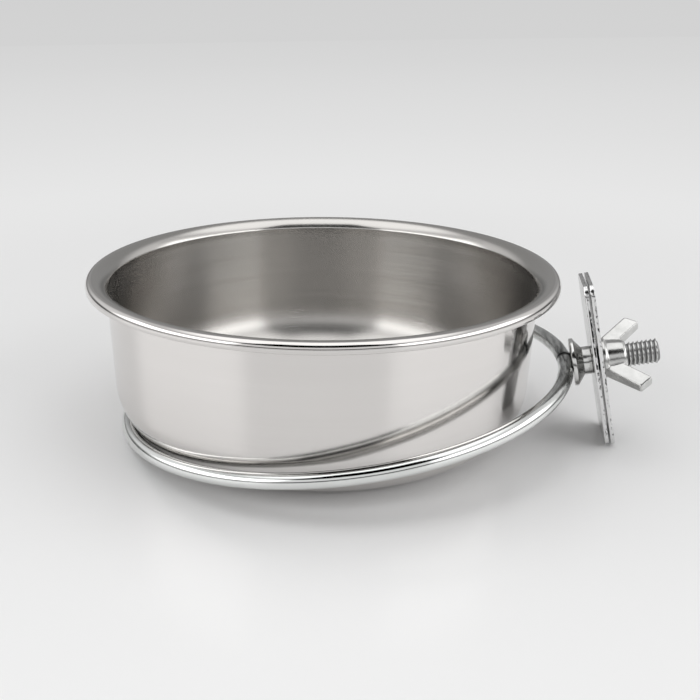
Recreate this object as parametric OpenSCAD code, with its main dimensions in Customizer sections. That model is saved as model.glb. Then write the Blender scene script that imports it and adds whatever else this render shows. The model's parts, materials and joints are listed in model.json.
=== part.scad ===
// Seed cup: a drawn steel cup standing inside the wire ring that carries it, with the
// ring's cage clamp. The cup's base centre is the origin, +Z is up and the clamp is on +X.
// The ring has dropped round the cup's foot: its far side and both plates rest on the floor.

/* [Cup] */
// Outside diameter of the rolled rim
cup_d = 150; // [120:1:180]
// Height from the base to the crest of the rim
cup_h = 52.2; // [46:0.2:62]
// How far the rim stands out past the top of the wall
rim_w = 6.3; // [6.2:0.1:9]
// Outside radius of the corner between wall and base
foot_r = 17.1; // [13:0.1:19]
// Slope of the wall from upright, in degrees
draft_a = 1.3; // [0.5:0.1:5]
// Thickness of the sheet
sheet_t = 0.8; // [0.5:0.05:1.2]
// Radius of the roll that leads the wall out into the rim, at mid sheet
roll_r = 4.3; // [3:0.1:4.4]
// Radius of the turned-down edge, at mid sheet
lip_r = 1.6; // [1:0.1:1.7]
// Straight height below the turned-down edge
lip_h = 0.6; // [0.2:0.1:1.5]

/* [Ring] */
// Clearance between the top of the cup's wall and the ring when the rim hangs on it
ring_gap = 1.35; // [0.6:0.05:2]
// Diameter of the wire
wire_d = 4.6; // [3.5:0.1:5]
// Clearance between the wire and the cup's foot, where the ring is tucked under it
tuck_gap = 0.4; // [0.3:0.05:1]
// Gap between the wire's two ends
butt_gap = 0.8; // [0.4:0.1:1.5]
// How far that gap lies to the far side of the bolt
butt_shift = 3; // [0:0.5:5]
// Diameter of the weld between the ends
weld_d = 3.2; // [2:0.1:3.4]

/* [Bolt] */
// Diameter over the thread's crests
bolt_d = 7.9; // [7:0.05:8]
// Length from the head's flat face to the tip
bolt_len = 25.4; // [24.5:0.1:32]
// Diameter of the head
head_d = 15; // [12:0.5:17]
// Thickness of the head's rim
head_t = 1.2; // [0.8:0.1:2]
// Height of the cone under the head
cone_h = 1.8; // [1:0.1:2.4]
// Diameter of the plain neck
neck_d = 8.8; // [8.6:0.1:11]
// Length of the neck past the cone
neck_len = 2.9; // [1:0.1:4]
// Depth that the head is sunk into the wire
seat_t = 0.4; // [0.2:0.1:0.8]
// Set of the bolt from the ring's plane, in degrees, upward above zero
bolt_set_a = 4.9; // [-3:0.1:6]
// Chamfer at the tip
tip_c = 0.9; // [0.5:0.1:1.5]

/* [Plates] */
// Length of each clamp plate
plate_len = 52.7; // [48:0.1:60]
// Width of each clamp plate
plate_w = 19.6; // [16:0.2:26]
// Thickness of each clamp plate
plate_t = 1.2; // [0.8:0.1:1.6]
// Corner radius of each clamp plate
plate_r = 3.5; // [1:0.5:6]
// Gap between the closed plates
jaw_gap = 0.5; // [0.3:0.1:1.5]
// Radial clearance of the plates and the nut on the bolt
bore_gap = 0.08; // [0.03:0.01:0.1]

/* [Wing nut] */
// Diameter of the nut's foot
nut_foot_d = 12.6; // [11.4:0.2:15]
// Thickness of the nut's foot
nut_foot_t = 1.4; // [1:0.1:2]
// Height of the nut's barrel with its foot
nut_h = 7.2; // [6.6:0.1:9]
// Diameter of the barrel above the foot
barrel_d = 11; // [10.8:0.1:11.2]
// Diameter of the barrel at its top
barrel_top_d = 10; // [9.8:0.1:10.6]
// Rounding of the barrel's top edge
barrel_r = 0.8; // [0.4:0.1:0.8]
// Distance over the wings' outer corners
wing_span = 27.4; // [24:0.2:30]
// Height of those outer corners above the nut's foot
wing_out_h = 9.4; // [8:0.1:11]
// Distance over the wings' inner corners
wing_in_span = 22.2; // [18:0.2:22.4]
// Height of those inner corners above the nut's foot
wing_in_h = 12.6; // [11.2:0.1:14]
// Thickness of each wing
wing_t = 3.4; // [2:0.1:4]
// Rounding of the wings' corners
wing_r = 0.7; // [0.3:0.1:1]
// Turn of the wings about the bolt, in degrees from the plates' length
wing_turn_a = 58; // [0:1:90]

/* [Hidden] */
$fn = 96;
arc_step = 6;      // degrees between the points of a drawn arc
overrun = 1;       // how far a cutter runs past what it cuts
face_gap = 0.05;   // clearance between faces that slide on each other

cup_r = cup_d / 2;
mouth_r = cup_r - rim_w;
half_t = sheet_t / 2;
wire_r = wire_d / 2;
ring_r = mouth_r + ring_gap + wire_r;
bolt_r = bolt_d / 2;
bore_r = bolt_r + bore_gap;

// Rim: the centre of the roll, then the centre of the turned-down edge
roll_x = mouth_r + cos(draft_a) * (roll_r - half_t);
roll_z = cup_h - half_t - roll_r;
lip_x = cup_r - half_t - lip_r;
lip_z = cup_h - half_t - lip_r;

// Foot: the centre of the corner, which meets the wall and the base without a step
wall_top_z = roll_z + sin(draft_a) * (roll_r - half_t);
foot_x = mouth_r - (wall_top_z - foot_r) * tan(draft_a) - foot_r / cos(draft_a);

// Places along the bolt, from the centre line of the wire
seat_x = wire_r - seat_t;
neck_x = seat_x + head_t + cone_h;
stop_x = neck_x + neck_len;
inner_x = stop_x + face_gap;
outer_x = inner_x + plate_t + jaw_gap;
nut_x = outer_x + plate_t + face_gap;
tip_x = seat_x + bolt_len;

// The ring tilts until its far side and the inner plate's lower edge stand on one floor
function foot_gap(a) = wire_r + 2 * ring_r * sin(a) + inner_x * sin(a + bolt_set_a)
    - plate_len / 2 * cos(a + bolt_set_a);
function settle(low, high, steps) = steps == 0 ? (low + high) / 2
    : foot_gap((low + high) / 2) > 0 ? settle(low, (low + high) / 2, steps - 1)
    : settle((low + high) / 2, high, steps - 1);
ring_tilt_a = settle(0, 45, 40);
ring_z = wire_r + ring_r * sin(ring_tilt_a);
// There the far side of the ring is tucked under the rounded foot of the cup
tuck_x = foot_x + sqrt(pow(foot_r + wire_r + tuck_gap, 2) - pow(foot_r - wire_r, 2));
ring_shift = ring_r * cos(ring_tilt_a) - tuck_x;
// The gap between the wire's ends and its place, as angles round the ring
butt_a = butt_gap / ring_r * 180 / PI;
butt_at_a = butt_shift / ring_r * 180 / PI;

// An arc as a list of points, from one angle to another
function arc(x, z, r, a0, a1) = let (n = ceil(abs(a1 - a0) / arc_step))
    [for (i = [0 : n]) let (a = a0 + (a1 - a0) * i / n) [x + r * cos(a), z + r * sin(a)]];

// One face of the cup's sheet, from the centre of the base to the edge of the rim
function sheet_face(side) = concat(
    [[0, half_t - side * half_t]],
    arc(foot_x, foot_r, foot_r - half_t + side * half_t, -90, -draft_a),
    arc(roll_x, roll_z, roll_r - side * half_t, 180 - draft_a, 90),
    arc(lip_x, lip_z, lip_r - side * half_t, 90, 0),
    [[lip_x + lip_r - side * half_t, lip_z - lip_h]]
);

function backwards(list) = [for (i = [len(list) - 1 : -1 : 0]) list[i]];

// Places its children in the ring's own plane, with x towards the bolt
module in_ring() {
    translate([ring_shift, 0, ring_z]) rotate([0, -ring_tilt_a, 0]) children();
}

// Places its children on the bolt's axis, with z along it and x along the plates
module on_bolt(along = 0) {
    in_ring() translate([ring_r, 0, 0]) rotate([0, 90 - bolt_set_a, 0])
        translate([0, 0, along]) children();
}

module cup() {
    color("lightgray") rotate_extrude($fn = 180)
        polygon(concat(sheet_face(1), backwards(sheet_face(-1))));
}

// A length of round rod bent to the ring's radius
module bent_rod(rod_d, from_a, sweep_a) {
    rotate([0, 0, from_a]) rotate_extrude(angle = sweep_a, $fn = 180)
        translate([ring_r, 0]) circle(d = rod_d, $fn = 48);
}

// The part of space on the clamp's side of the head's seat
module past_seat() {
    on_bolt(seat_x) translate([-head_d, -head_d, 0]) cube([2 * head_d, 2 * head_d, wire_d]);
}

module ring_wire() {
    color("silver") difference() {
        in_ring() bent_rod(wire_d, butt_at_a + butt_a / 2, 360 - butt_a);
        past_seat();
    }
}

module weld_nugget() {
    color("dimgray") difference() {
        in_ring() bent_rod(weld_d, butt_at_a - butt_a / 2, butt_a);
        past_seat();
    }
}

module clamp_bolt() {
    head_r = head_d / 2;
    neck_r = neck_d / 2;
    color("gainsboro") on_bolt() rotate_extrude() polygon([
        [0, seat_x], [head_r, seat_x], [head_r, seat_x + head_t], [neck_r, neck_x],
        [neck_r, stop_x], [bolt_r, stop_x], [bolt_r, tip_x - tip_c], [bolt_r - tip_c, tip_x],
        [0, tip_x]
    ]);
}

// A rectangle with round corners, centred
module round_rect(length, width, r) {
    square([length - 2 * r, width], center = true);
    square([length, width - 2 * r], center = true);
    for (x = [-1, 1], y = [-1, 1])
        translate([x * (length / 2 - r), y * (width / 2 - r)]) circle(r = r, $fn = 48);
}

module clamp_plate() {
    linear_extrude(plate_t) difference() {
        round_rect(plate_len, plate_w, plate_r);
        circle(r = bore_r);
    }
}

module inner_plate() {
    color("silver") on_bolt(inner_x) clamp_plate();
}

module outer_plate() {
    color("silver") on_bolt(outer_x) clamp_plate();
}

// Half section of the nut's round body, with x as radius and y along the bolt
module nut_section() {
    foot_r = nut_foot_d / 2;
    top_r = barrel_top_d / 2;
    polygon(concat(
        [[bore_r, 0], [foot_r, 0], [foot_r, nut_foot_t], [barrel_d / 2, nut_foot_t]],
        arc(top_r - barrel_r, nut_h - barrel_r, barrel_r, 0, 90),
        [[bore_r, nut_h]]
    ));
}

function unit(v) = v / norm(v);

// The corner at q between p and s, rounded to radius r
function round_corner(p, q, s, r) = let (
    to_p = unit(p - q), to_s = unit(s - q), half_a = acos(to_p * to_s) / 2,
    c = q + unit(to_p + to_s) * r / sin(half_a), out_a = atan2(q.y - c.y, q.x - c.x),
    turn_a = (to_p.x * to_s.y - to_p.y * to_s.x < 0 ? 1 : -1) * (90 - half_a)
) arc(c.x, c.y, r, out_a - turn_a, out_a + turn_a);

// One wing, flat in the plane of the bolt, rising from the nut's foot
module wing() {
    barrel_mid_r = (barrel_d + barrel_top_d) / 4;
    root_out = [nut_foot_d / 2, nut_foot_t / 2];
    tip_out = [wing_span / 2, wing_out_h];
    tip_in = [wing_in_span / 2, wing_in_h];
    root_in = [barrel_mid_r, nut_h - barrel_r];
    rotate([90, 0, 0]) linear_extrude(wing_t, center = true) polygon(concat(
        [[barrel_mid_r, nut_foot_t / 2], root_out],
        round_corner(root_out, tip_out, tip_in, wing_r),
        round_corner(tip_out, tip_in, root_in, wing_r),
        [root_in, [bore_r, nut_h - 2 * barrel_r], [bore_r, nut_foot_t / 2]]
    ));
}

module wing_nut() {
    core_r = barrel_top_d / 2 - barrel_r;
    color("whitesmoke") on_bolt(nut_x) rotate([0, 0, -wing_turn_a]) {
        rotate_extrude() nut_section();
        difference() {
            for (a = [0, 180]) rotate([0, 0, a]) wing();
            translate([0, 0, -overrun]) cylinder(h = nut_h + overrun, r = core_r);
        }
    }
}

cup();
ring_wire();
weld_nugget();
clamp_bolt();
inner_plate();
outer_plate();
wing_nut();
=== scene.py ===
import json
import math
import bmesh
import bpy
from mathutils import Matrix, Vector, noise


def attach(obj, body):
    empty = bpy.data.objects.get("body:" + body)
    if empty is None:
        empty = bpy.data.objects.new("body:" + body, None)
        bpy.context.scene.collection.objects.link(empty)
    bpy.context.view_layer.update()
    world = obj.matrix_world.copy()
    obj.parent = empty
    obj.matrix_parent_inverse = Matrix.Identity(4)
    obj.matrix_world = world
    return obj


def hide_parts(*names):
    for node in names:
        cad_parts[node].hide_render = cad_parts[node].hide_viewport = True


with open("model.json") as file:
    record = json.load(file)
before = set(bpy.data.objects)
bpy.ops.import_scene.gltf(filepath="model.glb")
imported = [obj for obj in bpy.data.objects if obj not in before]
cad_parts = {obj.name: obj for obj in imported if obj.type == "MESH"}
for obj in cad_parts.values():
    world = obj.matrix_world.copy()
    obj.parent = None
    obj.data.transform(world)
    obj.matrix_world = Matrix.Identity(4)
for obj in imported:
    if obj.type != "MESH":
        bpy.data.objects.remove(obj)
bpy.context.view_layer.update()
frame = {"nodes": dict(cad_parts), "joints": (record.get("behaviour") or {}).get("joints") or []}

millimetre = 0.001
scene = bpy.context.scene


def metres(lengths):
    return [length * millimetre for length in lengths]


def linkMesh(name, bm, smooth=True, sharpAngle=None):
    mesh = bpy.data.meshes.new(name)
    bm.to_mesh(mesh)
    bm.free()
    for face in mesh.polygons:
        face.use_smooth = smooth
    if sharpAngle is not None:
        mesh.set_sharp_from_angle(angle=math.radians(sharpAngle))
    piece = bpy.data.objects.new(name, mesh)
    scene.collection.objects.link(piece)
    return piece


def bake(piece):
    # The evaluated shape becomes the piece's own plain mesh
    graph = bpy.context.evaluated_depsgraph_get()
    mesh = bpy.data.meshes.new_from_object(piece.evaluated_get(graph), depsgraph=graph)
    old = piece.data
    piece.modifiers.clear()
    piece.data = mesh
    bpy.data.meshes.remove(old)
    mesh.name = piece.name
    return piece


def arc(centre, radius, startDeg, endDeg, steps):
    points = []
    for i in range(steps + 1):
        a = math.radians(startDeg + (endDeg - startDeg) * i / steps)
        points.append((centre[0] + radius * math.cos(a), centre[1] + radius * math.sin(a)))
    return points


def between(start, end, steps):
    # The points that cut a straight run into steps, without its ends
    return [(start[0] + (end[0] - start[0]) * i / steps, start[1] + (end[1] - start[1]) * i / steps)
            for i in range(1, steps)]


def roundedProfile(points, radius, steps=4, mostCut=0.45):
    # Softens each inner corner of an open outline; mostCut is the share of a side that one corner may take
    out = [points[0]]
    for before, here, after in zip(points, points[1:], points[2:]):
        p, q, s = Vector(before), Vector(here), Vector(after)
        toP, toS = (p - q), (s - q)
        cut = min(radius, toP.length * mostCut, toS.length * mostCut)
        start, end = q + toP.normalized() * cut, q + toS.normalized() * cut
        for i in range(steps + 1):
            t = i / steps
            out.append(tuple(start * (1 - t) ** 2 + q * 2 * t * (1 - t) + end * t ** 2))
    out.append(points[-1])
    return out


def lathe(name, profile, turns, sharpAngle=None, unit=millimetre, closed=False):
    # Turns an outline of (radius, height) about +Z; a point at radius 0 closes the end,
    # and closed joins the last point to the first
    bm = bmesh.new()
    rings = []
    for radius, height in profile:
        if radius == 0:
            rings.append([bm.verts.new((0, 0, height * unit))])
            continue
        rings.append([bm.verts.new((radius * math.cos(a) * unit, radius * math.sin(a) * unit, height * unit))
                      for a in (2 * math.pi * k / turns for k in range(turns))])
    for low, high in zip(rings, rings[1:] + (rings[:1] if closed else [])):
        for k in range(turns):
            n = (k + 1) % turns
            if len(low) == 1:
                bm.faces.new((low[0], high[n], high[k]))
            elif len(high) == 1:
                bm.faces.new((low[k], low[n], high[0]))
            else:
                bm.faces.new((low[k], low[n], high[n], high[k]))
    bmesh.ops.recalc_face_normals(bm, faces=bm.faces)
    return linkMesh(name, bm, sharpAngle=sharpAngle)


def grey(value):
    # A plain level or an (r, g, b) as a colour with alpha
    if isinstance(value, (tuple, list)):
        return tuple(value) + (1.0,)
    return (value, value, value, 1.0)


class Nodes:
    # Adds nodes to a tree, spread out from left to right, and links them
    columnWidth, rowHeight, rows = 60, 120, 7

    def __init__(self, tree):
        self.tree = tree
        self.count = 0

    def add(self, kind, inputs=None, **settings):
        node = self.tree.nodes.new(kind)
        self.count += 1
        node.location = (self.count * self.columnWidth, -(self.count % self.rows) * self.rowHeight)
        for key, value in settings.items():
            setattr(node, key, value)
        for key, value in (inputs or {}).items():
            if isinstance(value, bpy.types.NodeSocket):
                self.tree.links.new(value, node.inputs[key])
            else:
                node.inputs[key].default_value = value
        return node

    def place(self):
        return self.add("ShaderNodeTexCoord").outputs["Object"]

    def parts(self, vector):
        return self.add("ShaderNodeSeparateXYZ", {0: vector}).outputs

    def length(self, vector):
        return self.add("ShaderNodeVectorMath", {0: vector}, operation="LENGTH").outputs["Value"]

    def math(self, operation, a, b=0.0, clamp=False):
        return self.add("ShaderNodeMath", {0: a, 1: b}, operation=operation, use_clamp=clamp).outputs[0]

    def share(self, a, b, part):
        # part of a, with the rest of b
        return self.math("ADD", self.math("MULTIPLY", a, part), self.math("MULTIPLY", b, 1 - part))

    def spread(self, value, span, low, high, easing="LINEAR"):
        # Where value runs over span, the result runs from low to high
        return self.add("ShaderNodeMapRange", {"Value": value, "From Min": span[0], "From Max": span[1],
                        "To Min": low, "To Max": high}, interpolation_type=easing).outputs[0]

    def noise(self, place, scale, detail, roughness=0.5, seed=None):
        # A seed asks for a noise of its own in the same place
        inputs = {"Vector": place, "Scale": scale, "Detail": detail, "Roughness": roughness}
        if seed is None:
            return self.add("ShaderNodeTexNoise", inputs).outputs["Fac"]
        return self.add("ShaderNodeTexNoise", {**inputs, "W": seed}, noise_dimensions="4D").outputs["Fac"]

    def ramp(self, factor, stops, easing="EASE"):
        node = self.add("ShaderNodeValToRGB", {"Fac": factor})
        node.color_ramp.interpolation = easing
        elements = node.color_ramp.elements
        while len(elements) > 1:
            elements.remove(elements[-1])
        elements[0].position = stops[0][0]
        elements[0].color = grey(stops[0][1])
        for place, value in stops[1:]:
            elements.new(place).color = grey(value)
        return node.outputs["Color"]

    def mix(self, factor, a, b, blend="MIX"):
        # Inputs 6 and 7 and output 2 are the node's colours
        inputs = {0: factor, 6: a, 7: b}
        return self.add("ShaderNodeMix", inputs, data_type="RGBA", blend_type=blend).outputs[2]


def newMaterial(name):
    material = bpy.data.materials.new(name)
    material.use_nodes = True
    material.node_tree.nodes.clear()
    return material, Nodes(material.node_tree)


def finishMetal(nodes, colour, rough, height, s, sockets=None):
    bump = nodes.add("ShaderNodeBump", {"Strength": s["relief"], "Distance": s["reliefDepth"] * millimetre,
                     "Height": height})
    shader = nodes.add("ShaderNodeBsdfPrincipled", {
        "Metallic": 1.0, "Base Color": colour, "Roughness": rough, "Normal": bump.outputs["Normal"],
        **(sockets or {})})
    nodes.add("ShaderNodeOutputMaterial", {"Surface": shader.outputs["BSDF"]})


# Places along the bolt in mm from the wire's centre line
boltPlaces = dict(plateMiddle=8.45, headFace=1.9, stop=7.8, inner=7.85, outer=9.55, nut=10.8, tip=27.3)
swivel = next(joint for joint in frame["joints"] if joint["name"] == "inner_plate_swivel")
boltAxis = Vector(swivel["axis"]).normalized()
wireCentre = Vector(swivel["pos_m"]) - boltAxis * boltPlaces["plateMiddle"] * millimetre
sideAxis = Vector((0, -1, 0))              # towards the camera
upAxis = sideAxis.cross(boltAxis)          # up along the plates
boltMatrix = Matrix((
    (upAxis.x, sideAxis.x, boltAxis.x, wireCentre.x),
    (upAxis.y, sideAxis.y, boltAxis.y, wireCentre.y),
    (upAxis.z, sideAxis.z, boltAxis.z, wireCentre.z),
    (0, 0, 0, 1)))


def placeOnBolt(piece):
    piece.data.transform(boltMatrix)
    piece.data.update()
    return piece


cameraSettings = dict(
    imageSize=700, centreX=270.0, focalPixels=846.1776,      # pixels
    sensorWidth=36, clip=(0.01, 50),                         # mm, and metres for the clip
    distance=267.5175, height=123.8625,                      # mm from the cup's axis and above the floor
    yaw=-0.0617, pitch=0.3627, roll=-0.0151, turn=0.1798,    # radians; turn is about the cup's axis
)


def makeCamera(s):
    data = bpy.data.cameras.new("camera")
    data.sensor_width = s["sensorWidth"]
    data.lens = s["focalPixels"] / s["imageSize"] * s["sensorWidth"]
    data.shift_x = (s["imageSize"] / 2 - s["centreX"]) / s["imageSize"]
    data.clip_start, data.clip_end = s["clip"]
    camera = bpy.data.objects.new("camera", data)
    scene.collection.objects.link(camera)
    yaw, pitch, roll = s["yaw"], s["pitch"], s["roll"]
    forward = Vector((math.sin(yaw) * math.cos(pitch), math.cos(yaw) * math.cos(pitch), -math.sin(pitch)))
    right = Vector((math.cos(yaw), -math.sin(yaw), 0))
    up = right.cross(forward)
    right, up = right * math.cos(roll) + up * math.sin(roll), up * math.cos(roll) - right * math.sin(roll)
    axes = Matrix((right, up, -forward)).transposed().to_4x4()
    place = Matrix.Translation(Vector((0, -s["distance"], s["height"])) * millimetre)
    camera.matrix_world = Matrix.Rotation(s["turn"], 4, "Z") @ place @ axes
    scene.camera = camera


makeCamera(cameraSettings)
print("camera made")


noiseSpan = (0.3, 0.7)       # a noise seldom leaves this range


def boltCoordinates(nodes):
    # Object coordinates in the bolt's own frame: up the plates, to the side, along the bolt
    inverse = boltMatrix.inverted()
    return nodes.add("ShaderNodeMapping", {"Vector": nodes.place(), "Location": inverse.to_translation(),
                     "Rotation": inverse.to_euler()}, vector_type="POINT").outputs[0]


def brushedSteel(name, s):
    # Brush lines, fine and broad, that run round the cup's axis
    material, nodes = newMaterial(name)
    place = nodes.place()
    parts = nodes.parts(place)
    flat = nodes.add("ShaderNodeCombineXYZ", {0: parts[0], 1: parts[1]}).outputs[0]
    across = nodes.math("ADD", nodes.length(flat), parts[2])
    around = nodes.parts(nodes.add("ShaderNodeVectorMath", {0: flat}, operation="NORMALIZE").outputs[0])

    def lines(width, length, seed):
        drawn = nodes.add("ShaderNodeCombineXYZ", {
            0: nodes.math("MULTIPLY", around[0], s["radius"] / length),
            1: nodes.math("MULTIPLY", around[1], s["radius"] / length),
            2: nodes.math("MULTIPLY", across, 1 / millimetre / width)}).outputs[0]
        return nodes.noise(drawn, 1.0, detail=2.0, seed=seed)

    tone = nodes.share(lines(*s["fineLines"]), lines(*s["broadLines"]), s["fineShare"])
    clouds = nodes.noise(place, s["cloudScale"], detail=2.0)
    colour = nodes.mix(tone, grey(s["dark"]), grey(s["pale"]))
    rough = nodes.spread(nodes.share(tone, clouds, s["lineShare"]), noiseSpan, s["roughLow"], s["roughHigh"])
    rim = nodes.spread(parts[2], metres(s["rimHeights"]), 1.0, s["rimGloss"])
    rough = nodes.math("MULTIPLY", rough, rim)
    tangent = nodes.add("ShaderNodeTangent", direction_type="RADIAL", axis="Z").outputs[0]
    finishMetal(nodes, colour, rough, tone, s,
                {"Anisotropic": s["anisotropy"], "Anisotropic Rotation": 0.25, "Tangent": tangent})
    return material


def plating(nodes, place, s):
    # Bright plating: cloudy haze in its colour and gloss, and a fine grain for its relief
    haze = nodes.noise(place, s["hazeScale"], detail=3.0)
    grain = nodes.noise(place, s["grainScale"], detail=4.0, roughness=0.6)
    colour = nodes.mix(haze, grey(s["dark"]), grey(s["pale"]))
    rough = nodes.spread(haze, noiseSpan, s["roughLow"], s["roughHigh"])
    return colour, rough, grain


def platedSteel(name, s):
    material, nodes = newMaterial(name)
    finishMetal(nodes, *plating(nodes, nodes.place(), s), s)
    return material


def scorchedWire(name, s):
    # Plating burnt in dark streaks near the weld, and painted shadow, near black, on the wire's ends at the
    # butt joint
    material, nodes = newMaterial(name)
    place = nodes.place()
    colour, rough, grain = plating(nodes, place, s)
    drawn = nodes.add("ShaderNodeMapping", {"Vector": place, "Scale": s["streakStretch"]}).outputs[0]
    streaks = nodes.noise(drawn, 1.0, detail=3.0, roughness=0.6)
    offset = nodes.add("ShaderNodeVectorMath", {0: place, 1: wireCentre}, operation="SUBTRACT").outputs[0]
    heat = nodes.spread(nodes.length(offset), metres(s["heatSpan"]), 1.0, 0.0, "SMOOTHSTEP")
    burnt = nodes.math("MULTIPLY", nodes.ramp(streaks, s["burntStreaks"], "LINEAR"), heat)
    colour = nodes.mix(burnt, colour, grey(s["burntTone"]))
    # Painted shadow: the wire's ends beside the butt joint's gap are coloured near black, where the joint's
    # shade falls
    along = nodes.math("SUBTRACT", nodes.parts(offset)[1], s["jointShift"] * millimetre)
    jointShade = nodes.spread(nodes.math("ABSOLUTE", along), metres(s["jointShadeSpan"]), 1.0, 0.0)
    jointShade = nodes.math("MULTIPLY", jointShade, nodes.math("GREATER_THAN", heat, s["jointShadeHeat"]))
    colour = nodes.mix(jointShade, colour, grey(s["jointShadeTone"]))
    rough = nodes.math("ADD", rough, nodes.math("MULTIPLY", burnt, s["burntRough"]))
    finishMetal(nodes, colour, rough, grain, s)
    return material


def threadedSteel(name, s):
    # Plating whose thread roots are painted darker and rougher: painted shade in the roots
    material, nodes = newMaterial(name)
    place = boltCoordinates(nodes)
    colour, rough, grain = plating(nodes, place, s)
    parts = nodes.parts(place)
    flat = nodes.add("ShaderNodeCombineXYZ", {0: parts[0], 1: parts[1]}).outputs[0]
    depth = nodes.spread(nodes.length(flat), metres(s["rootSpan"]), 1.0, 0.0)
    low, high = metres(s["threadSpan"])
    onThread = nodes.math("MULTIPLY", nodes.math("GREATER_THAN", parts[2], low),
                          nodes.math("LESS_THAN", parts[2], high))
    # Painted shade: the thread's roots are coloured darker the deeper they lie below the crests
    rootShade = nodes.math("MULTIPLY", onThread, depth)
    colour = nodes.mix(rootShade, colour, grey(s["rootShadeTone"]))
    rough = nodes.math("ADD", rough, nodes.math("MULTIPLY", rootShade, s["rootRough"]))
    finishMetal(nodes, colour, rough, grain, s)
    return material


def shearedSteel(name, s):
    # A sheared edge: a smooth burnished band, then a torn one with dark pits drawn along the plate
    material, nodes = newMaterial(name)
    place = boltCoordinates(nodes)
    parts = nodes.parts(place)
    drawn = nodes.add("ShaderNodeMapping", {"Vector": place, "Scale": s["stretch"]}).outputs[0]
    pits = nodes.noise(drawn, s["pitScale"], detail=4.0, roughness=0.65)
    patches = nodes.noise(place, s["patchScale"], detail=1.0)
    level = nodes.share(pits, patches, s["pitShare"])
    # The inner plate is torn most, above its middle; everywhere else is calmer
    fromWorst = nodes.math("ABSOLUTE", nodes.math("SUBTRACT", parts[0], s["worstAt"] * millimetre))
    isOuter = nodes.math("GREATER_THAN", parts[2], boltPlaces["outer"] * millimetre)
    calm = nodes.math("MAXIMUM", nodes.spread(fromWorst, metres(s["worstSpan"]), 0.0, s["calmer"]),
                      nodes.math("MULTIPLY", isOuter, s["calmer"]))
    stops = [(s["tornLevel"], 1.0), (s["tornLevel"] + s["tornFade"], 0.0)]
    torn = nodes.ramp(nodes.math("ADD", level, calm), stops, "LINEAR")
    bands = None
    for start in s["tornStarts"]:
        past = nodes.math("GREATER_THAN", parts[2], start * millimetre)
        before = nodes.math("LESS_THAN", parts[2], (start + s["tornWidth"]) * millimetre)
        band = nodes.math("MULTIPLY", past, before)
        bands = band if bands is None else nodes.math("MAXIMUM", bands, band)
    torn = nodes.math("MULTIPLY", torn, bands)
    colour = nodes.mix(torn, grey(s["pale"]), grey(s["dark"]))
    rough = nodes.spread(torn, (0.0, 1.0), s["roughLow"], s["roughHigh"])
    finishMetal(nodes, colour, rough, pits, s)
    return material


def weldedSteel(name, s):
    # Rough weld metal: dark pits between paler patches
    material, nodes = newMaterial(name)
    place = nodes.place()
    pits = nodes.noise(place, s["pitScale"], detail=5.0, roughness=0.7)
    patches = nodes.noise(place, s["patchScale"], detail=2.0)
    level = nodes.share(pits, patches, s["pitShare"])
    colour = nodes.mix(nodes.ramp(level, s["paleLevels"], "LINEAR"), grey(s["dark"]), grey(s["pale"]))
    rough = nodes.spread(level, s["roughSpan"], s["roughHigh"], s["roughLow"])
    finishMetal(nodes, colour, rough, pits, s)
    return material


# Lengths are in mm; fineLines and broadLines are width, length and seed
cupInside = brushedSteel("brushed_cup_steel", dict(
    radius=75, fineLines=(0.35, 60.0, 1.7), broadLines=(2.5, 120.0, 5.3), fineShare=0.55,
    cloudScale=40.0, lineShare=0.6, dark=(0.52, 0.505, 0.485), pale=(0.61, 0.595, 0.575),
    roughLow=0.22, roughHigh=0.28, rimHeights=(46.5, 48.5), rimGloss=0.7,
    relief=0.02, reliefDepth=0.02, anisotropy=0.9))
cupOutside = brushedSteel("polished_cup_steel", dict(
    radius=75, fineLines=(0.3, 80.0, 1.7), broadLines=(3.0, 150.0, 5.3), fineShare=0.55,
    cloudScale=30.0, lineShare=0.6, dark=(0.63, 0.61, 0.595), pale=(0.70, 0.68, 0.665),
    roughLow=0.08, roughHigh=0.11, rimHeights=(46.5, 48.5), rimGloss=0.8,
    relief=0.01, reliefDepth=0.02, anisotropy=0.8))
wirePlating = scorchedWire("bright_wire_plating", dict(
    hazeScale=90.0, grainScale=1400.0, dark=(0.68, 0.69, 0.68), pale=(0.80, 0.81, 0.80),
    roughLow=0.08, roughHigh=0.16, relief=0.05, reliefDepth=0.05,
    streakStretch=(800.0, 110.0, 800.0), burntStreaks=((0.36, 1.0), (0.6, 0.3)),
    burntTone=(0.06, 0.06, 0.057), burntRough=0.12, heatSpan=(4.0, 42.0),
    # The butt joint's painted shadow: its span in mm from the joint, the heat it needs, and its near-black
    # tone
    jointShift=3.0, jointShadeSpan=(0.76, 1.9), jointShadeHeat=0.5, jointShadeTone=0.01))
boltPlating = threadedSteel("bolt_plating", dict(
    hazeScale=300.0, grainScale=2500.0, dark=(0.60, 0.60, 0.59), pale=(0.76, 0.76, 0.75),
    roughLow=0.1, roughHigh=0.2, relief=0.1, reliefDepth=0.05,
    # The thread roots carry painted shade: rootShadeTone is its colour
    rootSpan=(3.35, 3.85), threadSpan=(8.9, boltPlaces["tip"] - 0.05), rootShadeTone=0.26, rootRough=0.3))
platePlating = platedSteel("plate_plating", dict(
    hazeScale=140.0, grainScale=1800.0, dark=(0.40, 0.40, 0.395), pale=(0.54, 0.54, 0.535),
    roughLow=0.12, roughHigh=0.22, relief=0.06, reliefDepth=0.05))
nutPlating = platedSteel("cast_nut_plating", dict(
    hazeScale=260.0, grainScale=1500.0, dark=(0.42, 0.42, 0.41), pale=(0.72, 0.72, 0.71),
    roughLow=0.14, roughHigh=0.28, relief=0.4, reliefDepth=0.05))
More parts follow.
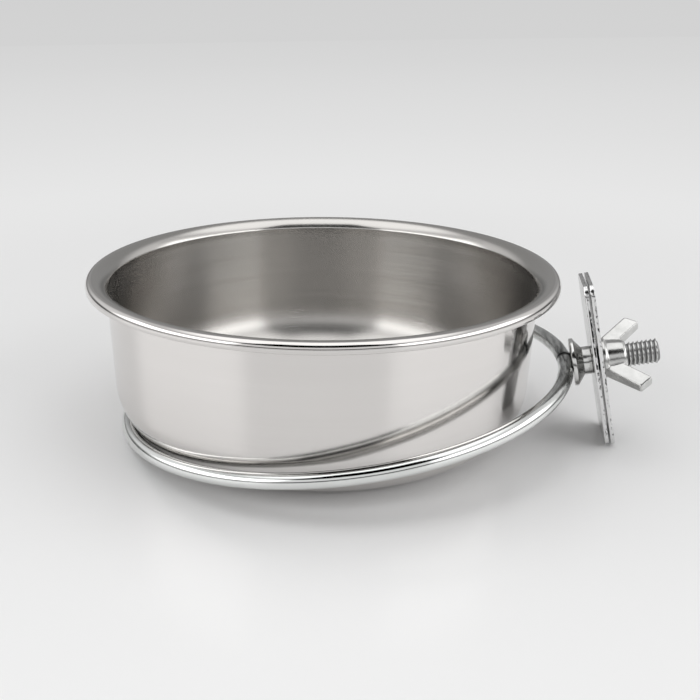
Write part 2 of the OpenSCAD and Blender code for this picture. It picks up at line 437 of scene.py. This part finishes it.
plateEdge = shearedSteel("sheared_plate_edge", dict(
    stretch=(0.6, 1.0, 1.3), pitScale=1500.0, patchScale=110.0, pitShare=0.7,
    worstAt=9.0, worstSpan=(8.0, 12.0), calmer=0.085,
    tornStarts=(boltPlaces["inner"] + 0.5, boltPlaces["outer"] + 0.6), tornWidth=0.55,
    tornLevel=0.50, tornFade=0.06, dark=0.03, pale=0.74,
    roughLow=0.16, roughHigh=0.6, relief=0.25, reliefDepth=0.1))
weldMetal = weldedSteel("weld_metal", dict(
    pitScale=1200.0, patchScale=500.0, pitShare=0.65, paleLevels=((0.42, 0.0), (0.52, 1.0)),
    dark=0.02, pale=(0.3, 0.3, 0.29), roughSpan=(0.35, 0.65), roughLow=0.25, roughHigh=0.55,
    relief=0.5, reliefDepth=0.2))
print("metals made")


cupSettings = dict(
    diameter=150.0, height=52.2, rimWidth=6.3, footRadius=17.1, draft=1.3, sheet=0.8, edgeRound=0.12,
    flareStart=60.0, flareEnd=0.0, bendRadius=1.0, lipRadius=1.5, lipHeight=1.0, turns=288,
    baseSteps=6, footSteps=28, wallSteps=5, bendSteps=8, flareSteps=20, lipSteps=18,
    undersideNormal=-0.5,      # faces whose normal points further down than this look as the outside does
)


def makeCup(s):
    half, draft = s["sheet"] / 2, math.radians(s["draft"])
    outer = s["diameter"] / 2
    mouth = outer - s["rimWidth"]
    bend, lip = s["bendRadius"], s["lipRadius"]
    lipX, lipZ = outer - half - lip, s["height"] - half - lip
    bendX = mouth + math.cos(draft) * (bend - half)
    # The flare is an arc that starts steep at the mouth and ends level at the lip
    wallTurn, steepTurn, levelTurn = 180 - s["draft"], 90 + s["flareStart"], 90 + s["flareEnd"]
    steep, level = math.radians(s["flareStart"]), math.radians(s["flareEnd"])
    flare = ((lipX - bendX + bend * math.sin(steep) - lip * math.sin(level))
             / (math.sin(steep) - math.sin(level)))
    flareX = lipX - (lip - flare) * math.sin(level)
    flareZ = lipZ + (lip - flare) * math.cos(level)
    bendZ = flareZ + (flare - bend) * math.cos(steep)
    foot = s["footRadius"]
    footX = mouth - (bendZ - foot) * math.tan(draft) - foot / math.cos(draft)

    def face(side):
        # side is 1 on the outer face of the sheet and -1 on its inner face
        off, rounded = side * half, s["edgeRound"]
        base = (0, half - off)
        footArc = arc((footX, foot), foot - half + off, -90, -s["draft"], s["footSteps"])
        bendArc = arc((bendX, bendZ), bend - off, wallTurn, steepTurn, s["bendSteps"])
        flareArc = arc((flareX, flareZ), flare - off, steepTurn, levelTurn, s["flareSteps"])
        lipArc = arc((lipX, lipZ), lip - off, levelTurn, 0, s["lipSteps"])
        edge = [(lipX + lip - off, lipZ - s["lipHeight"] + rounded),
                (lipX + lip - side * (half - rounded), lipZ - s["lipHeight"])]
        floor = [base] + between(base, footArc[0], s["baseSteps"])
        wall = footArc + between(footArc[-1], bendArc[0], s["wallSteps"]) + bendArc
        return floor + wall + flareArc[1:] + lipArc[1:] + edge

    piece = lathe("cup_shell", face(1) + face(-1)[::-1], s["turns"])
    piece.data.materials.append(cupInside)
    piece.data.materials.append(cupOutside)
    for polygon in piece.data.polygons:
        middle, normal = polygon.center, polygon.normal
        facesOut = normal.x * middle.x + normal.y * middle.y > 0
        facesDown = normal.z < s["undersideNormal"]
        polygon.material_index = 1 if facesOut or facesDown else 0
    return piece


cup = makeCup(cupSettings)
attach(cup, "cup")
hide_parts("cup")
print("cup made")


def makeTree(name, floats, integers):
    # A Geometry Nodes tree with named inputs for its sizes
    tree = bpy.data.node_groups.new(name, "GeometryNodeTree")
    sockets = tree.interface
    sockets.new_socket(name="Geometry", in_out="INPUT", socket_type="NodeSocketGeometry")
    for label in floats:
        sockets.new_socket(name=label, in_out="INPUT", socket_type="NodeSocketFloat")
    for label in integers:
        sockets.new_socket(name=label, in_out="INPUT", socket_type="NodeSocketInt")
    sockets.new_socket(name="Geometry", in_out="OUTPUT", socket_type="NodeSocketGeometry")
    return Nodes(tree)


def finishTree(nodes, geometry, material):
    real = nodes.add("GeometryNodeRealizeInstances", {"Geometry": geometry})
    dressed = nodes.add("GeometryNodeSetMaterial", {"Geometry": real.outputs[0], "Material": material})
    nodes.add("NodeGroupOutput", {0: dressed.outputs[0]})
    return nodes.tree


def grow(name, tree, values):
    # Runs the tree on an empty piece; its inputs are set by their sockets' identifiers
    piece = linkMesh(name, bmesh.new())
    modifier = piece.modifiers.new(tree.name, "NODES")
    modifier.node_group = tree
    for item in tree.interface.items_tree:
        if item.item_type == "SOCKET" and item.in_out == "INPUT" and item.name in values:
            modifier[item.identifier] = values[item.name]
    return bake(piece)


ringSettings = dict(
    radius=72.35, wire=4.6, gap=0.8, gapShift=3.0, around=40, along=1100, endLength=0.5, endSize=0.82,
    collarLength=7.5, collarStep=0.5, collarSize=1.08, seatReach=20.0,
)


def sweepTree(material):
    # Sweeps a round wire along an arc; its cut ends are a little smaller, and the weld's heat has
    # swollen one of them to a collar
    nodes = makeTree("wire_sweep", ("Radius", "Wire Radius", "Start Angle", "Sweep Angle", "End Length",
                                    "End Size", "Collar Length", "Collar Step", "Collar Size"),
                     ("Along", "Around"))
    entry = nodes.add("NodeGroupInput").outputs
    bent = nodes.add("GeometryNodeCurveArc", {"Resolution": entry["Along"], "Radius": entry["Radius"],
                     "Start Angle": entry["Start Angle"], "Sweep Angle": entry["Sweep Angle"]})
    section = nodes.add("GeometryNodeCurvePrimitiveCircle",
                        {"Resolution": entry["Around"], "Radius": entry["Wire Radius"]})
    run = nodes.add("GeometryNodeSplineParameter").outputs["Length"]
    total = nodes.math("MULTIPLY", entry["Radius"], entry["Sweep Angle"])
    toEnd = nodes.math("MINIMUM", run, nodes.math("SUBTRACT", total, run))
    pastEnd = nodes.math("DIVIDE", toEnd, entry["End Length"], clamp=True)
    endSize = nodes.spread(pastEnd, (0.0, 1.0), entry["End Size"], 1.0, "SMOOTHSTEP")
    pastCollar = nodes.math("DIVIDE", nodes.math("SUBTRACT", run, entry["Collar Length"]),
                            entry["Collar Step"], clamp=True)
    collarSize = nodes.spread(pastCollar, (0.0, 1.0), entry["Collar Size"], 1.0, "SMOOTHSTEP")
    sized = nodes.add("GeometryNodeSetCurveRadius", {"Curve": bent.outputs["Curve"],
                      "Radius": nodes.math("MULTIPLY", endSize, collarSize)})
    swept = nodes.add("GeometryNodeCurveToMesh", {"Curve": sized.outputs[0],
                      "Profile Curve": section.outputs["Curve"], "Fill Caps": True})
    shaded = nodes.add("GeometryNodeSetShadeSmooth", {"Geometry": swept.outputs[0]})
    return finishTree(nodes, shaded.outputs[0], material)


def makeRing(s):
    gapAngle, gapPlace = s["gap"] / s["radius"], s["gapShift"] / s["radius"]
    piece = grow("ring_wire_bent", sweepTree(wirePlating), {
        "Radius": s["radius"] * millimetre, "Wire Radius": s["wire"] / 2 * millimetre,
        "Start Angle": gapPlace + gapAngle / 2, "Sweep Angle": 2 * math.pi - gapAngle,
        "End Length": s["endLength"] * millimetre, "End Size": s["endSize"],
        "Collar Length": s["collarLength"] * millimetre, "Collar Step": s["collarStep"] * millimetre,
        "Collar Size": s["collarSize"], "Along": s["along"], "Around": s["around"]})
    # Tilted so that its low side stands on the floor and its high side meets the bolt's head
    radius, floorHeight = s["radius"] * millimetre, s["wire"] / 2 * millimetre
    tilt = math.asin((wireCentre.z - floorHeight) / (2 * radius))
    centre = (wireCentre.x - radius * math.cos(tilt), 0, floorHeight + radius * math.sin(tilt))
    piece.data.transform(Matrix.Translation(centre) @ Matrix.Rotation(-tilt, 4, "Y"))
    # The bolt's head is sunk into the wire: what lies past the seat is pushed back to it
    seat, reach = boltPlaces["headFace"] * millimetre, s["seatReach"] * millimetre
    inverse = boltMatrix.inverted()
    for vertex in piece.data.vertices:
        local = inverse @ vertex.co
        if local.z > seat and abs(local.x) < reach and abs(local.y) < reach:
            local.z = seat
            vertex.co = boltMatrix @ local
    return piece


ring = makeRing(ringSettings)
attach(ring, "holder")
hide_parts("ring_wire")
print("ring made")

frame["nodes"]["weld_nugget"].data.materials.clear()
frame["nodes"]["weld_nugget"].data.materials.append(weldMetal)


boltSettings = dict(
    headRadius=7.5, headRim=1.2, cone=1.8, neckRadius=4.4, neckShoulder=0.5, neckRound=0.3,
    coreRadius=3.26, crestRadius=3.93, runOut=0.4, tipTaper=0.5, soften=0.22, turns=96,
    pitch=1.25, threadStart=9.0, threadEnd=26.9, rootShare=0.92, crestShare=0.2,
    stepsPerTurn=48, fadeTurns=0.5, leastSize=0.02,
)


def makeBoltBody(s):
    face, stop, tip = boltPlaces["headFace"], boltPlaces["stop"], boltPlaces["tip"]
    neck, core, coneEnd = s["neckRadius"], s["coreRadius"], face + s["headRim"] + s["cone"]
    shank, threadStart, taper = s["crestRadius"], s["threadStart"], s["tipTaper"]
    outline = [
        (0, face), (s["headRadius"], face), (s["headRadius"], face + s["headRim"]),
        (neck + s["neckShoulder"], coneEnd), (neck, coneEnd + s["neckRound"]), (neck, stop),
        (shank, stop), (shank, threadStart), (core, threadStart + s["runOut"]),
        (core, tip - taper), (core - taper, tip), (0, tip)]
    piece = lathe("bolt_body", roundedProfile(outline, s["soften"]), s["turns"], sharpAngle=50)
    piece.data.materials.append(boltPlating)
    return placeOnBolt(piece)


def threadTree(material):
    # One ridge wound along the shank; its section is a blunt triangle, and it grows from nothing
    # over the first part of a turn and fades over the last
    nodes = makeTree("thread_ridge", ("Core Radius", "Depth", "Root Width", "Crest Width", "Pitch", "Turns",
                                      "Fade Turns", "Least Size"), ("Steps Per Turn",))
    entry = nodes.add("NodeGroupInput").outputs
    spiral = nodes.add("GeometryNodeCurveSpiral", {
        "Resolution": entry["Steps Per Turn"], "Rotations": entry["Turns"],
        "Start Radius": entry["Core Radius"], "End Radius": entry["Core Radius"],
        "Height": nodes.math("MULTIPLY", entry["Pitch"], entry["Turns"])})
    along = nodes.add("GeometryNodeSplineParameter").outputs["Factor"]
    ends = nodes.math("DIVIDE", entry["Turns"], entry["Fade Turns"])
    rise = nodes.math("MULTIPLY", along, ends, clamp=True)
    fall = nodes.math("MULTIPLY", nodes.math("SUBTRACT", 1.0, along), ends, clamp=True)
    size = nodes.math("MAXIMUM", nodes.math("MULTIPLY", rise, fall), entry["Least Size"])
    upright = nodes.add("GeometryNodeSetCurveNormal", {"Curve": spiral.outputs[0]}, mode="Z_UP")
    sized = nodes.add("GeometryNodeSetCurveRadius", {"Curve": upright.outputs[0], "Radius": size})
    section = nodes.add("GeometryNodeCurvePrimitiveQuadrilateral", {
        "Height": entry["Depth"], "Bottom Width": entry["Root Width"], "Top Width": entry["Crest Width"],
        "Offset": 0.0}, mode="TRAPEZOID")
    swept = nodes.add("GeometryNodeCurveToMesh", {"Curve": sized.outputs[0],
                      "Profile Curve": section.outputs[0], "Fill Caps": True})
    return finishTree(nodes, swept.outputs[0], material)


def makeThread(s):
    piece = grow("bolt_thread", threadTree(boltPlating), {
        "Core Radius": s["coreRadius"] * millimetre,
        "Depth": (s["crestRadius"] - s["coreRadius"]) * millimetre,
        "Root Width": s["pitch"] * s["rootShare"] * millimetre,
        "Crest Width": s["pitch"] * s["crestShare"] * millimetre,
        "Pitch": s["pitch"] * millimetre, "Turns": (s["threadEnd"] - s["threadStart"]) / s["pitch"],
        "Fade Turns": s["fadeTurns"], "Least Size": s["leastSize"], "Steps Per Turn": s["stepsPerTurn"]})
    piece.data.transform(Matrix.Translation((0, 0, s["threadStart"] * millimetre)))
    return placeOnBolt(piece)


boltBody = makeBoltBody(boltSettings)
boltThread = makeThread(boltSettings)
for piece in (boltBody, boltThread):
    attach(piece, "holder")
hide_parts("clamp_bolt")
print("bolt made")


plateSettings = dict(
    length=52.7, width=19.6, thick=1.2, corner=3.5, cornerSteps=10, bore=4.03, boreChamfer=0.12,
    edgeRound=0.18, flatMargin=0.25, edgeStep=0.4, edgeRough=0.05, edgeWaver=(1.3, 1.3, 3.0),
    # The edge is burnished up to one share of the thickness and torn back round the other
    burnishedShare=0.4, tornShare=0.7, tornDip=0.03, exitDip=0.02, roundShare=0.3, exitShare=0.35,
)


def makePlate(name, start, s, seed):
    halfL, halfW, r = s["length"] / 2, s["width"] / 2, s["corner"]
    t, e, chamfer = s["thick"], s["edgeRound"], s["boreChamfer"]
    outline = []
    for x, y, turn in ((halfL - r, halfW - r, 0), (r - halfL, halfW - r, 90),
                       (r - halfL, r - halfW, 180), (halfL - r, r - halfW, 270)):
        outline += arc((x, y), r, turn, turn + 90, s["cornerSteps"])
    # More points on the straight runs, so that the torn edge can waver
    points = []
    for a, b in zip(outline, outline[1:] + outline[:1]):
        points += [a] + between(a, b, max(1, int(math.dist(a, b) / s["edgeStep"])))
    count = len(points)
    outward = []
    for (px, py), (nx, ny) in zip(points[-1:] + points[:-1], points[1:] + points[:1]):
        length = math.hypot(nx - px, ny - py)
        outward.append(((ny - py) / length, (px - nx) / length))
    # Height and offset of each ring, from one face round the sheared edge to the other; a narrow flat
    # border at both ends keeps the shading of the rounded edge off the faces
    border, cut, exitCut = -e - s["flatMargin"], e * s["roundShare"], e * s["exitShare"]
    levels = [(0.0, border), (0.0, -e), (cut, -cut), (e, 0.0), (t * s["burnishedShare"], 0.0),
              (t * s["tornShare"], -s["tornDip"]), (t - e, -s["exitDip"]), (t - cut, -exitCut),
              (t, -e), (t, border)]
    bm = bmesh.new()

    def ringAt(height, places):
        return [bm.verts.new(metres((x, y, start + height))) for x, y in places]

    def bridge(low, high, slot):
        for i in range(count):
            n = (i + 1) % count
            bm.faces.new((low[i], low[n], high[n], high[i])).material_index = slot

    waverX, waverY, waverZ = s["edgeWaver"]
    rim = []
    for height, offset in levels:
        places = []
        for (x, y), (ox, oy) in zip(points, outward):
            waver = noise.noise(Vector((x * waverX, y * waverY, height * waverZ + seed)))
            moved = offset - abs(waver) * s["edgeRough"] if 0 < height < t else offset
            places.append((x + ox * moved, y + oy * moved))
        rim.append(ringAt(height, places))
    angles = [math.atan2(y, x) for x, y in points]
    bore = []
    for height, radius in ((0.0, s["bore"] + chamfer), (chamfer, s["bore"]), (t - chamfer, s["bore"]),
                           (t, s["bore"] + chamfer)):
        bore.append(ringAt(height, [(radius * math.cos(a), radius * math.sin(a)) for a in angles]))
    for low, high in zip(rim, rim[1:]):
        bridge(low, high, 0 if low is rim[0] or high is rim[-1] else 1)
    for low, high in zip(bore, bore[1:]):
        bridge(high, low, 0)
    bridge(rim[0], bore[0], 0)
    bridge(rim[-1], bore[-1], 0)
    bmesh.ops.recalc_face_normals(bm, faces=bm.faces)
    piece = linkMesh(name, bm, sharpAngle=40)
    piece.data.materials.append(platePlating)
    piece.data.materials.append(plateEdge)
    return placeOnBolt(piece)


for name, node, start, seed in (("inner_clamp_plate", "inner_plate", boltPlaces["inner"], 3),
                                ("outer_clamp_plate", "outer_plate", boltPlaces["outer"], 8)):
    plate = makePlate(name, start, plateSettings, seed)
    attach(plate, node)
    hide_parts(node)
print("plates made")


nutSettings = dict(
    bore=4.03, boreChamfer=0.3, faceLift=0.02, turns=72,
    footRadius=6.3, footHeight=1.4, footRound=0.2, footChamfer=0.3,
    barrelRadius=5.5, barrelFillet=0.15, topRadius=5.0, height=7.2, barrelRound=1.3, roundSteps=6,
    # One wing from its root in the barrel, as (distance from the bolt's axis, height)
    wingOutline=((4.6, 0.9), (6.3, 0.8), (13.7, 9.1), (10.8, 12.9), (5.0, 6.3), (4.6, 5.6)),
    wingRootThick=4.6, wingTipThick=3.3, wingBevel=0.35, bevelSteps=3, wingTurn=58.0,
    voxel=0.16, softenFactor=0.5, softenRounds=36,
)


def makeWing(s, turnDeg):
    outline = s["wingOutline"]
    root, span = outline[0][0], outline[2][0]

    def half(x):
        reach = (x - root) / (span - root)
        return (s["wingRootThick"] + (s["wingTipThick"] - s["wingRootThick"]) * reach) / 2

    bm = bmesh.new()
    front = [bm.verts.new((x, -half(x), z)) for x, z in outline]
    back = [bm.verts.new((x, half(x), z)) for x, z in outline]
    bm.faces.new(front)
    bm.faces.new(back[::-1])
    for i in range(len(outline)):
        n = (i + 1) % len(outline)
        bm.faces.new((front[n], front[i], back[i], back[n]))
    bmesh.ops.recalc_face_normals(bm, faces=bm.faces)
    turned = Matrix.Rotation(math.radians(turnDeg), 3, "Z")
    bmesh.ops.rotate(bm, verts=bm.verts, cent=(0, 0, 0), matrix=turned)
    piece = linkMesh("wing", bm)
    bevel = piece.modifiers.new("bevel", "BEVEL")
    bevel.width, bevel.segments, bevel.limit_method = s["wingBevel"], s["bevelSteps"], "NONE"
    return bake(piece)


def makeNut(s):
    # Made in millimetres: the barrel and its wings are joined, and remeshed to one cast skin
    foot, top, chamfer = s["footRadius"], s["height"], s["footChamfer"]
    profile = [(s["bore"], s["faceLift"]), (foot - s["footRound"], s["faceLift"]), (foot, s["footRound"]),
               (foot, s["footHeight"] - chamfer), (foot - chamfer, s["footHeight"]),
               (s["barrelRadius"], s["footHeight"] + s["barrelFillet"])]
    profile += arc((s["topRadius"] - s["barrelRound"], top - s["barrelRound"]), s["barrelRound"], 0, 90,
                   s["roundSteps"])
    profile += [(s["bore"] + s["boreChamfer"], top), (s["bore"], top - s["boreChamfer"])]
    body = lathe("wing_nut_body", profile, s["turns"], unit=1.0, closed=True)
    wings = [makeWing(s, -s["wingTurn"]), makeWing(s, 180 - s["wingTurn"])]
    for wing in wings:
        union = body.modifiers.new("join", "BOOLEAN")
        union.operation, union.object, union.solver = "UNION", wing, "EXACT"
    bake(body)
    for wing in wings:
        mesh = wing.data
        bpy.data.objects.remove(wing)
        bpy.data.meshes.remove(mesh)
    skin = body.modifiers.new("skin", "REMESH")
    skin.mode, skin.voxel_size, skin.use_smooth_shade = "VOXEL", s["voxel"], True
    soften = body.modifiers.new("soften", "SMOOTH")
    soften.factor, soften.iterations = s["softenFactor"], s["softenRounds"]
    bake(body)
    onBolt = Matrix.Translation((0, 0, boltPlaces["nut"] * millimetre))
    body.data.transform(onBolt @ Matrix.Scale(millimetre, 4))
    body.data.materials.clear()
    body.data.materials.append(nutPlating)
    for face in body.data.polygons:
        face.use_smooth = True
    return placeOnBolt(body)


nut = makeNut(nutSettings)
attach(nut, "wing_nut")
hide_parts("wing_nut")
print("wing nut made")


studioSettings = dict(
    # The floor is slightly glossy near the cup and glows evenly further off; floorRadius is in metres
    floorColour=0.875, floorRough=0.28, floorIor=1.6, floorRadius=9.0, floorSides=96,
    # By distance / (distance + 1 m)
    floorBlend=(0.17, 0.32),
    floorTones=((0.17, 0.84), (0.30, 0.80), (0.47, 0.745), (0.76, 0.68), (1.0, 0.65)),
    backdropLow=0.65, backdropHigh=0.60, backdropRise=6.0,
    # Azimuths in degrees from the camera's side: wide panels at both sides, dimmer light in front and behind
    sides=((-180, 0.34), (-154, 0.36), (-138, 0.8), (-116, 0.9), (-104, 2.45), (-42, 2.45), (-36, 0.85),
           (34, 0.85), (40, 2.45), (104, 2.45), (116, 0.9), (138, 0.8), (154, 0.36), (180, 0.34)),
    # By the sine of the elevation: how the sides fade towards the floor, in front and behind
    frontFoot=((0.0, 0.08), (0.12, 0.14), (0.3, 1.0)),
    backFoot=((0.0, 0.35), (0.2, 1.0)),
    behind=((-180, 1.0), (-150, 1.0), (-125, 0.0), (125, 0.0), (150, 1.0), (180, 1.0)),    # by azimuth
    # The sines of the elevation at which the sides end and the overhead light starts, by azimuth
    sidesTop=((-180, 0.76), (-150, 0.76), (-125, 0.58), (125, 0.58), (150, 0.76), (180, 0.76)),
    overheadStart=((-180, 0.76), (-150, 0.76), (-125, 0.58), (-46, 0.58), (-38, 0.92),
                   (40, 0.92), (48, 0.58), (125, 0.58), (150, 0.76), (180, 0.76)),
    edgeSoft=0.05, overheadTones=((0.6, 0.68), (0.76, 0.72), (0.86, 1.5)),
)


def makeFloor(s):
    bm = bmesh.new()
    bmesh.ops.create_circle(bm, cap_ends=True, radius=s["floorRadius"], segments=s["floorSides"])
    floor = linkMesh("floor", bm, smooth=False)
    material, nodes = newMaterial("pale_floor")
    distance = nodes.length(nodes.place())
    reach = nodes.math("DIVIDE", distance, nodes.math("ADD", distance, 1.0))
    near, far = s["floorBlend"]
    glossy = nodes.add("ShaderNodeBsdfPrincipled", {"Base Color": grey(s["floorColour"]),
                       "Roughness": s["floorRough"], "IOR": s["floorIor"]})
    glow = nodes.add("ShaderNodeEmission", {"Color": nodes.ramp(reach, s["floorTones"], "LINEAR"),
                     "Strength": 1.0})
    rays = nodes.add("ShaderNodeLightPath").outputs
    seen = nodes.math("MAXIMUM", rays["Is Camera Ray"], rays["Is Glossy Ray"])
    glowing = nodes.math("MULTIPLY", nodes.ramp(reach, [(near, 0.0), (far, 1.0)]), seen)
    blend = nodes.add("ShaderNodeMixShader", {0: glowing, 1: glossy.outputs[0], 2: glow.outputs[0]})
    nodes.add("ShaderNodeOutputMaterial", {"Surface": blend.outputs[0]})
    floor.data.materials.append(material)


def makeStudio(s):
    world = bpy.data.worlds.new("studio")
    world.use_nodes = True
    world.node_tree.nodes.clear()
    scene.world = world
    nodes = Nodes(world.node_tree)
    direction = nodes.add("ShaderNodeTexCoord").outputs["Generated"]
    height = nodes.parts(direction)[2]
    turned = nodes.add("ShaderNodeVectorRotate", {"Vector": direction, "Angle": -cameraSettings["turn"]},
                       rotation_type="Z_AXIS")
    flat = nodes.parts(turned.outputs[0])
    angle = nodes.math("ARCTAN2", flat[0], nodes.math("MULTIPLY", flat[1], -1.0))
    around = nodes.math("ADD", nodes.math("DIVIDE", angle, 2 * math.pi), 0.5)

    def byAzimuth(stops):
        return nodes.ramp(around, [(place / 360 + 0.5, value) for place, value in stops], "LINEAR")

    def above(stops):
        past = nodes.math("SUBTRACT", height, byAzimuth(stops))
        return nodes.spread(past, (0.0, s["edgeSoft"]), 0.0, 1.0, "SMOOTHSTEP")

    frontFoot, backFoot = nodes.ramp(height, s["frontFoot"]), nodes.ramp(height, s["backFoot"])
    foot = nodes.mix(byAzimuth(s["behind"]), frontFoot, backFoot)
    sides = nodes.mix(1.0, byAzimuth(s["sides"]), foot, "MULTIPLY")
    sides = nodes.mix(above(s["sidesTop"]), sides, grey(0.0))
    overhead = nodes.ramp(height, s["overheadTones"], "LINEAR")
    overhead = nodes.mix(above(s["overheadStart"]), grey(0.0), overhead)
    light = nodes.mix(1.0, sides, overhead, "ADD")
    rise = nodes.math("MULTIPLY", height, s["backdropRise"], clamp=True)
    backdrop = nodes.mix(rise, grey(s["backdropLow"]), grey(s["backdropHigh"]))
    seen = nodes.add("ShaderNodeLightPath").outputs["Is Camera Ray"]
    shown = nodes.mix(seen, light, backdrop)
    background = nodes.add("ShaderNodeBackground", {"Color": shown, "Strength": 1.0})
    nodes.add("ShaderNodeOutputWorld", {"Surface": background.outputs[0]})


makeFloor(studioSettings)
makeStudio(studioSettings)
scene.view_settings.view_transform = "Standard"
print("studio made")
